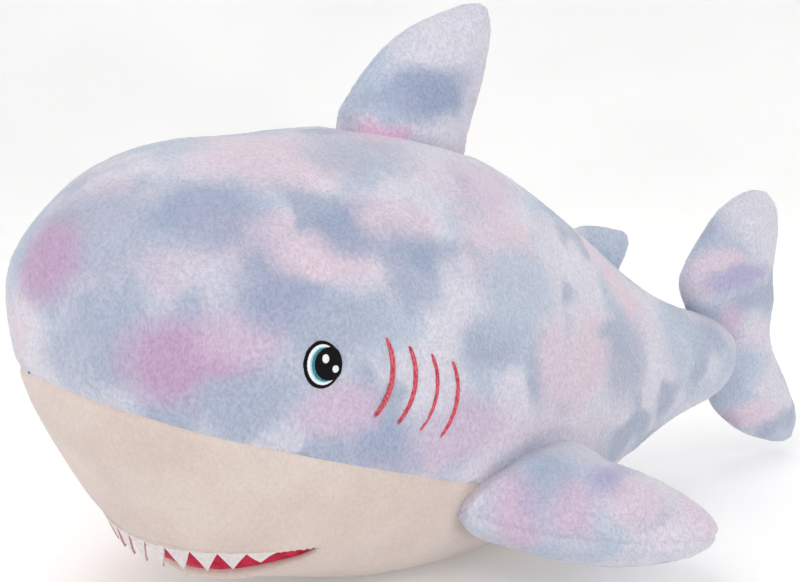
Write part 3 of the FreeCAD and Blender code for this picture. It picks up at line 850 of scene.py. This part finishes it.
# Main stains on the left side, part by part: how far back and how far up (or out, on the
# pectoral) in shares of the part's box, how long and how high in mm, colour and strength.
STAINS = {
    "trunk": [
        (0.05, 0.80, 50, 30, BLUE, 0.85),
        (0.15, 0.55, 70, 45, BLUE, 0.6),
        (0.02, 0.75, 24, 24, MAUVE, 0.95),
        (0.05, 0.65, 24, 14, BLUE, 0.9),
        (0.03, 0.55, 26, 24, BLUE, 0.8),
        (0.10, 0.55, 32, 22, MAUVE, 1.0),
        (0.15, 0.60, 24, 15, LILAC, 0.8),
        (0.15, 0.45, 28, 14, BLUE, 0.9),
        (0.15, 0.85, 30, 22, DEEP_BLUE, 0.75),
        (0.20, 0.70, 26, 22, DEEP_BLUE, 0.75),
        (0.25, 0.60, 28, 16, BLUE, 0.9),
        (0.25, 0.95, 50, 16, PINK, 0.9),
        (0.25, 0.75, 28, 12, PINK, 1.0),
        (0.30, 0.80, 28, 14, DEEP_BLUE, 0.75),
        (0.35, 0.80, 24, 12, PINK, 0.85),
        (0.35, 0.95, 36, 14, BLUE, 0.65),
        (0.35, 0.70, 20, 24, DEEP_BLUE, 0.65),
        (0.25, 0.40, 26, 13, LILAC, 0.9),
        (0.30, 0.30, 26, 16, DEEP_BLUE, 0.75),
        (0.40, 0.30, 36, 20, LILAC, 0.85),
        (0.45, 0.50, 28, 18, BLUE, 1.0),
        (0.50, 0.60, 34, 30, SKY, 0.9),
        (0.50, 0.85, 34, 16, LILAC, 0.6),
        (0.55, 0.40, 20, 30, PINK, 0.95),
        (0.65, 0.25, 24, 16, PALE, 0.85),
        (0.70, 0.35, 26, 30, BLUE, 0.8),
        (0.85, 0.35, 30, 24, SKY, 0.8),
    ],
    "dorsal": [
        (0.75, 0.80, 40, 30, PALE, 0.9),
        (0.45, 0.35, 30, 17, DEEP_BLUE, 0.8),
        (0.20, 0.10, 18, 8, ROSE, 0.95),
    ],
    "rear": [
        (0.50, 0.50, 34, 20, SKY, 0.9),
    ],
    "tail": [
        (0.45, 0.95, 34, 30, PALE, 0.9),
        (0.15, 0.75, 22, 14, PINK, 0.9),
        (0.30, 0.70, 34, 9, PERIWINKLE, 0.9),
        (0.25, 0.55, 14, 14, LILAC, 0.8),
        (0.45, 0.50, 20, 14, PALE, 0.8),
        (0.35, 0.35, 30, 16, SKY, 0.9),
        (0.50, 0.15, 24, 14, PINK, 0.9),
        (0.30, 0.10, 18, 12, MAUVE, 0.75),
    ],
    "pectoral": [
        (0.40, 0.15, 40, 34, SKY, 0.9),
        (0.15, 0.35, 14, 26, LILAC, 1.0),
        (0.35, 0.55, 14, 18, LILAC, 0.9),
        (0.35, 0.15, 24, 22, DEEP_BLUE, 0.8),
        (0.55, 0.50, 15, 13, PERIWINKLE, 0.95),
        (0.60, 0.85, 20, 10, BLUE, 0.8),
        (0.75, 0.65, 22, 18, PALE, 0.8),
        (0.60, 0.70, 18, 16, PINK, 0.85),
        (0.90, 0.90, 20, 16, PINK, 0.9),
    ],
}


def stain_radii(part, length, height):
    """A stain's radii. It soaks through as deep as it is high."""
    flat = DYED_PARTS[part][1][2]
    return (height, length, height) if flat else (max(length, height), length, height)


def stain_centre(part, back, up):
    """The point of a part's skin at the given shares of its box, seen from its dyed side."""
    node, side = DYED_PARTS[part]
    side = np.array(side)
    share = np.array((0.5, back, up)) if side[0] else np.array((up, back, 0.5))
    low, high = (np.array(corner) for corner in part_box(node))
    centre = low + (high - low) * share
    hit = surface_of(node).ray_cast(Vector(centre + side * CAST), Vector(-side))[0]
    return np.array(hit) if hit is not None else centre


def dyed_plush():
    """Short pile, tie-dyed in soft blots that run into each other."""
    f = Finish("dyed_plush")
    at = f.moved(f.moved(f.dyed_at, 20 * MM, 34 * MM), 7 * MM, 9 * MM)
    colour = f.mix(f.ramp(f.noise(62 * MM, 1.5, at=at), 0.42, 0.6), PALE, SKY)
    colour = f.mix(f.ramp(f.noise(78 * MM, 1.5, output="Color", at=at), 0.5, 0.64), colour, PINK)
    shifted = f.node("ShaderNodeVectorMath", {0: at, 1: (0.4, 0.9, 0.2)}).outputs[0]
    colour = f.mix(f.ramp(f.noise(48 * MM, 1.5, at=shifted), 0.52, 0.66), colour, BLUE)
    for part, stains in STAINS.items():
        for back, up, length, height, drop, strength in stains:
            share = f.blot(at, stain_centre(part, back, up), stain_radii(part, length, height))
            weak = f.node("ShaderNodeMath", {0: share, 1: strength}, operation="MULTIPLY").outputs[0]
            colour = f.mix(weak, colour, drop)
    # Base colour carries painted shade between the fibres and a painted highlight on their tips.
    f.set(Base_Color=f.pile_painted_shade_and_highlight(colour, 0.86, 1.1))
    f.set(Roughness=0.92, Sheen_Weight=0.45, Sheen_Roughness=0.45, Specular_IOR_Level=0.15)
    f.pile_bump(0.9)
    return f.material


def white_plush():
    """Undyed pile, a warm cream, combed a little smoother than the dyed cloth."""
    f = Finish("white_plush")
    colour = f.mix(f.ramp(f.noise(48 * MM, 2.0), 0.35, 0.65), dye(214, 198, 190), dye(221, 207, 199))
    # Base colour carries painted shade between the fibres and a painted highlight on their tips.
    f.set(Base_Color=f.pile_painted_shade_and_highlight(colour, 0.93, 1.03))
    f.set(Roughness=0.92, Sheen_Weight=0.35, Sheen_Roughness=0.45, Specular_IOR_Level=0.15)
    f.pile_bump(0.6)
    return f.material


def red_lining():
    """Brushed crimson cloth."""
    f = Finish("red_lining")
    f.set(Base_Color=f.mix(f.ramp(f.noise(7 * MM, 3.0), 0.3, 0.7), dye(176, 22, 52), dye(206, 40, 74)))
    f.set(Roughness=0.85, Sheen_Weight=0.3, Sheen_Roughness=0.4, Specular_IOR_Level=0.2)
    f.set(Sheen_Tint=dye(255, 170, 190))
    f.bump([(1.2 * MM, 3.0, 0.5, 0.4 * MM)])
    return f.material


def tooth_felt():
    """Pressed white felt, greyer where its fibres mat."""
    f = Finish("tooth_felt")
    nap = f.ramp(f.noise(2.5 * MM, 4.0, 0.7), 0.3, 0.7)
    f.set(Base_Color=f.mix(nap, dye(212, 204, 204), dye(232, 227, 226)))
    f.set(Roughness=0.95, Sheen_Weight=0.25, Specular_IOR_Level=0.12)
    f.bump([(0.7 * MM, 4.0, 0.5, 0.25 * MM)])
    return f.material


def felt_edge_painted_reflection():
    """The cut edge of the felt, tinted pink as a painted reflection of the crimson lining."""
    f = Finish("felt_edge_painted_reflection")
    f.set(Base_Color=f.mix(f.ramp(f.noise(1.6 * MM, 3.0), 0.3, 0.7), dye(226, 176, 186), dye(240, 204, 210)))
    f.set(Roughness=0.95, Specular_IOR_Level=0.1)
    f.bump([(0.6 * MM, 3.0, 0.5, 0.2 * MM)])
    return f.material


def thread(name, dark, light, gloss=0.45, shine=0.4):
    """Satin stitch: fine shiny strands laid side by side."""
    f = Finish(name)
    strands = f.node("ShaderNodeVectorMath", {0: f.dyed_at, 1: (0.25, 1.0, 0.25)}, operation="MULTIPLY")
    ridge = f.noise(0.55 * MM, 2.0, 0.6, at=strands.outputs[0])
    f.set(Base_Color=f.mix(f.ramp(ridge, 0.3, 0.7), dark, light))
    f.set(Roughness=gloss, Specular_IOR_Level=shine)
    bump = f.node("ShaderNodeBump", {"Height": ridge, "Strength": 0.6, "Distance": 0.25 * MM})
    f.set(Normal=bump.outputs[0])
    return f.material


def backdrop():
    """Matt paper, faintly mottled."""
    f = Finish("backdrop")
    f.set(Base_Color=f.mix(f.ramp(f.noise(0.4, 2.0), 0.35, 0.65), dye(246, 246, 246), dye(250, 250, 250)))
    f.set(Roughness=0.95, Specular_IOR_Level=0.1, Emission_Color=(1, 1, 1, 1), Emission_Strength=0.16)
    return f.material


MATERIALS = {
    "backdrop": backdrop(),
    "dyed_plush": dyed_plush(),
    "white_plush": white_plush(),
    "red_lining": red_lining(),
    "tooth_felt": tooth_felt(),
    "felt_edge_painted_reflection": felt_edge_painted_reflection(),
    "black_thread": thread("black_thread", dye(2, 2, 4), dye(10, 10, 14), 0.6, 0.12),
    "white_thread": thread("white_thread", dye(222, 224, 226), dye(248, 250, 250)),
    "teal_thread": thread("teal_thread", dye(28, 98, 116), dye(70, 150, 166)),
    "cyan_thread": thread("cyan_thread", dye(120, 190, 204), dye(176, 224, 232)),
    "red_thread": thread("red_thread", dye(150, 26, 58), dye(238, 104, 118)),
}


# ------------------------------------------------------------------ assembly

def place(piece, body, slot, nodes=()):
    """Hangs a piece on its body and hides the imported nodes that it stands for."""
    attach(piece, body)
    dress(nodes)


def dress(nodes=()):
    if nodes:
        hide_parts(*nodes)


def trunk_tree(trunk):
    """A ray-casting tree over both halves of the trunk."""
    left = trunk.reshape(-1, 3)
    faces = grid_faces(*trunk.shape[:2])
    right_faces = [tuple(index + len(left) for index in face) for face in faces]
    return BVHTree.FromPolygons(np.concatenate([left, mirrored(left)]).tolist(), faces + right_faces)


def seam_finder(lines):
    """A nearest-point tree over the lines where fins are sewn on."""
    points = [point for line in lines for point in line]
    finder = KDTree(len(points))
    for number, point in enumerate(points):
        finder.insert(point, number)
    finder.balance()
    return finder


def build_trunk(trunk, finder):
    """The stuffed trunk: two dyed flanks and a white belly."""
    middle = trunk.reshape(-1, 3).mean(axis=0) * np.array([0, 1, 1])
    normals = grid_normals(trunk)
    normals = outward(trunk.reshape(-1, 3), normals.reshape(-1, 3), middle).reshape(normals.shape)
    crossings = seam_columns(trunk)
    for side, label in ((1, "left"), (-1, "right")):
        shaped, flat, faces = flank_skin(trunk, normals, crossings, side, finder)
        flank = add_mesh("flank_" + label, shaped, faces, ["dyed_plush"], rest=flat)
        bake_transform(flank)
        dress(["flank_cover_" + label] + (["body_stuffing"] if side == 1 else []))
    shaped, flat, faces = belly_skin(trunk, normals, crossings, finder)
    belly = add_mesh("belly", shaped, faces, ["white_plush"], rest=flat)
    place(belly, "body", "white_plush", ["belly_panel"])


def build_mouth(tree):
    """Crimson pocket, rolled lips and the felt teeth."""
    points, faces = lining_pocket(tree)
    place(add_mesh("mouth_pocket", points, faces, ["red_lining"]), "body", "red_lining", ["mouth_lining"])
    for lower, label, radius, sink in ((False, "upper", 1.8, 0.8), (True, "lower", 3.8, 1.4)):
        line, normals = lip_line(tree, lower)
        points, faces = roll(line, normals, radius * MM, sink * MM)
        place(add_mesh(label + "_lip", points, faces, ["white_plush"]), "body", "white_plush")
    points, faces, indices = tooth_strip(tree)
    teeth = add_mesh("teeth", points, faces, ["tooth_felt", "felt_edge_painted_reflection"], indices=indices)
    place(teeth, "body", "tooth_felt", ["upper_teeth"])


def build_embroidery(tree):
    """Eyes and gills, stitched onto both cheeks."""
    for side, label in ((1, "left"), (-1, "right")):
        eye = cheek_frame(tree, side)
        for layer, material, back, up, wide, tall, rise in EYE_LAYERS:
            step = 0.45 * MM if layer == "ring" else 0.14 * MM
            points, faces = stitched_disc(tree, eye, (back, up), (wide, tall), rise, step)
            piece = add_mesh(f"eye_{layer}_{label}_stitched", points, faces, [material])
            slot = "teal_thread" if layer == "rim" else material
            node = f"eye_{layer}_{label}"
            place(piece, "body", slot, [node] if node in frame["nodes"] else [])
        glints = []
        for back, up, wide, tall in EYE_GLINTS:
            glints.append(stitched_disc(tree, eye, (back, up), (wide, tall), GLINT_RISE, rings=6, spokes=36))
        points = np.concatenate([glint[0] for glint in glints])
        faces = glints[0][1] + [tuple(i + len(glints[0][0]) for i in f) for f in glints[1][1]]
        piece = add_mesh(f"eye_glints_{label}_stitched", points, faces, ["white_thread"])
        place(piece, "body", "white_thread", ["eye_glints_" + label])
        for number in range(GILL_COUNT):
            points, faces = gill_line(tree, number, side)
            piece = add_mesh(f"gill_{number + 1}_{label}_stitched", points, faces, ["red_thread"])
            place(piece, "body", "red_thread", [f"gill_{number + 1}_{label}"])


def far_along(node_names, origin, direction):
    """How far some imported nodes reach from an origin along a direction."""
    reach = []
    for name in node_names:
        corners = [vertex.co for vertex in frame["nodes"][name].data.vertices]
        reach.append(((np.array(corners) - np.array(origin)) @ np.array(direction)).max())
    return max(reach)


class RootedFin:
    """A fin whose two covers are sewn to the trunk along a line."""

    def __init__(self, joint_name, body, span, names, nodes, first, plump, sag=0.0):
        self.body = body
        self.names = names
        self.nodes = nodes
        self.seam = np.array(JOINTS[joint_name]["pos_m"])
        self.span = np.array(span)
        chord = np.abs(JOINTS[joint_name]["axis"]) * np.array([0, 1, -1])
        chord /= np.linalg.norm(chord)
        last = far_along(nodes, self.seam, span) - 0.5 * MM
        self.fin = Fin(nodes, self.seam, chord, span, first, last, plump=plump)
        hang = sag * np.sin(math.pi * np.clip(self.fin.heights / last, 0, 1) ** 1.2) ** 0.7 / 2
        self.fin.sizes[:, 2] += hang if self.fin.side[2] < 0 else -hang
        self.fin.sizes[:, 3] += hang

    def seam_line(self, tree):
        """Points all round the line where the fin runs into the trunk."""
        angles = np.linspace(0, 2 * math.pi, 120)
        heights = root_heights(self.fin, tree, angles, sink=0)
        return [self.fin.point(height, angle) for height, angle in zip(heights, angles)]

    def build(self, tree):
        bodies = frame["record"]["behaviour"]["bodies"]
        stuffing = next(name for name in bodies[self.body] if "stuffing" in name)
        for cover, node in zip(fin_covers(self.fin, self.names, tree), self.nodes):
            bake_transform(cover)
            dress([node, stuffing] if node == self.nodes[0] else [node])


def plan_fins():
    """The dorsal fin, the small fin behind it and the two pectorals."""
    fins = []
    for name, first, plump in (("dorsal", 13 * MM, 0.3 * MM), ("rear", 7 * MM, 1.3 * MM)):
        span = np.cross([1, 0, 0], JOINTS[name + "_fin_lean"]["axis"])
        nodes = [f"{name}_fin_cover_left", f"{name}_fin_cover_right"]
        names = [(name + "_fin_left", 0.0), (name + "_fin_right", math.pi)]
        fins.append(RootedFin(name + "_fin_lean", name + "_fin", span, names, nodes, first, plump))
    for side, label in ((1, "left"), (-1, "right")):
        span = np.array([side * math.cos(PECTORAL_DROOP), 0, -math.sin(PECTORAL_DROOP)])
        nodes = [f"pectoral_top_cover_{label}", f"pectoral_under_cover_{label}"]
        top = math.pi if side == 1 else 0.0
        names = [("pectoral_top_" + label, top), ("pectoral_under_" + label, top + math.pi)]
        fins.append(RootedFin(f"pectoral_{label}_flap", f"pectoral_fin_{label}", span, names, nodes,
                              22 * MM, 1.2 * MM, sag=9 * MM))
    return fins


def build_tail():
    """The upright tail fin, whose middle is hidden in the stem of the trunk."""
    nodes = ["tail_fin_cover_left", "tail_fin_cover_right"]
    axis = np.array(JOINTS["tail_fin_wag"]["pos_m"])
    origin = np.array([0, axis[1], 0])
    low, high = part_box(nodes[0])
    hidden = (axis[2] - 50 * MM, axis[2] + 50 * MM)
    fin = Fin(nodes, origin, (0, 1, 0), (0, 0, 1), low[2] + 0.5 * MM, high[2] - 0.5 * MM, hidden,
              plump=1.3 * MM, count=70)
    above = fin.heights - axis[2]
    fin.sizes[:, 1] -= 16 * MM * np.exp(-((above + 4 * MM) / (32 * MM)) ** 2)
    fin.sizes[:, 1] -= 2.5 * MM * smooth_step(above, 20 * MM, 50 * MM)
    fin.sizes[:, 0] -= 9 * MM * np.exp(-((above - 46 * MM) / (28 * MM)) ** 2)
    names = [("tail_fin_left", 0.0), ("tail_fin_right", math.pi)]
    for cover, node in zip(fin_covers(fin, names), nodes):
        place(cover, "tail_fin", "dyed_plush", [node, "tail_fin_stuffing"] if node == nodes[0] else [node])


# ------------------------------------------------------------------ stage, camera and lights

CAMERA_AZIMUTH = math.radians(56.6)
CAMERA_RISE = math.radians(11.0)
CAMERA_DISTANCE = 904 * MM
CAMERA_LENS = 62.6
VIEW_HEIGHT = 172 * MM


def from_front(azimuth, rise, distance, target):
    """A place at a distance from a target, turned from the nose towards the left side."""
    back = Vector((math.sin(azimuth) * math.cos(rise), -math.cos(azimuth) * math.cos(rise), math.sin(rise)))
    return Vector(target) + back * distance


def point_at(thing, target):
    towards = Vector(target) - thing.location
    thing.rotation_euler = towards.to_track_quat("-Z", "Y").to_euler()


def build_camera(target):
    camera = bpy.data.objects.new("camera", bpy.data.cameras.new("camera"))
    bpy.context.scene.collection.objects.link(camera)
    camera.data.lens = CAMERA_LENS
    camera.location = from_front(CAMERA_AZIMUTH, CAMERA_RISE, CAMERA_DISTANCE, target)
    point_at(camera, target)
    bpy.context.scene.camera = camera


def build_light(name, target, azimuth, rise, distance, size, power, colour):
    lamp = bpy.data.objects.new(name, bpy.data.lights.new(name, "AREA"))
    bpy.context.scene.collection.objects.link(lamp)
    lamp.data.shape = "DISK"
    lamp.data.size = size
    lamp.data.energy = power
    lamp.data.color = colour
    lamp.location = from_front(math.radians(azimuth), math.radians(rise), distance, target)
    point_at(lamp, target)


def build_stage():
    """A pale floor that curves up into a wall all round."""
    profile = [(0.0, 0.0), (0.5, 0.0), (1.0, 0.0), (1.8, 0.0)]
    bend = 1.2
    for step in range(1, 13):
        turn = math.pi / 2 * step / 12
        profile.append((1.8 + bend * math.sin(turn), bend * (1 - math.cos(turn))))
    profile.append((3.0, 3.2))
    spokes = 64
    points = []
    for radius, height in profile:
        for spoke in range(spokes):
            angle = 2 * math.pi * spoke / spokes
            radius = max(radius, 0.001)
            points.append((radius * math.cos(angle), radius * math.sin(angle), height))
    floor = add_mesh("floor", points, grid_faces(len(profile), spokes, closed=True), ["backdrop"])


def build_lights(target):
    build_light("key", target, 20, 55, 2.0, 1.5, 12.5, (1.0, 0.98, 0.965))
    build_light("fill", target, 95, 25, 2.2, 1.8, 5.5, (0.96, 0.98, 1.0))
    build_light("back", target, 215, 50, 2.2, 1.4, 7, (1.0, 0.98, 0.96))
    world = bpy.data.worlds.new("soft_room")
    world.use_nodes = True
    world.node_tree.nodes["Background"].inputs["Color"].default_value = (1.0, 0.99, 0.985, 1.0)
    world.node_tree.nodes["Background"].inputs["Strength"].default_value = 0.44
    bpy.context.scene.world = world
    bpy.context.scene.view_settings.view_transform = "Standard"


def main():
    trunk = sample_trunk()
    tree = trunk_tree(trunk)
    fins = plan_fins()
    build_trunk(trunk, seam_finder([fin.seam_line(tree) for fin in fins]))
    for fin in fins:
        fin.build(tree)
    build_tail()
    build_mouth(tree)
    build_embroidery(tree)
    target = Vector((0, 0, VIEW_HEIGHT))
    build_camera(target)
    build_stage()
    build_lights(target)


main()
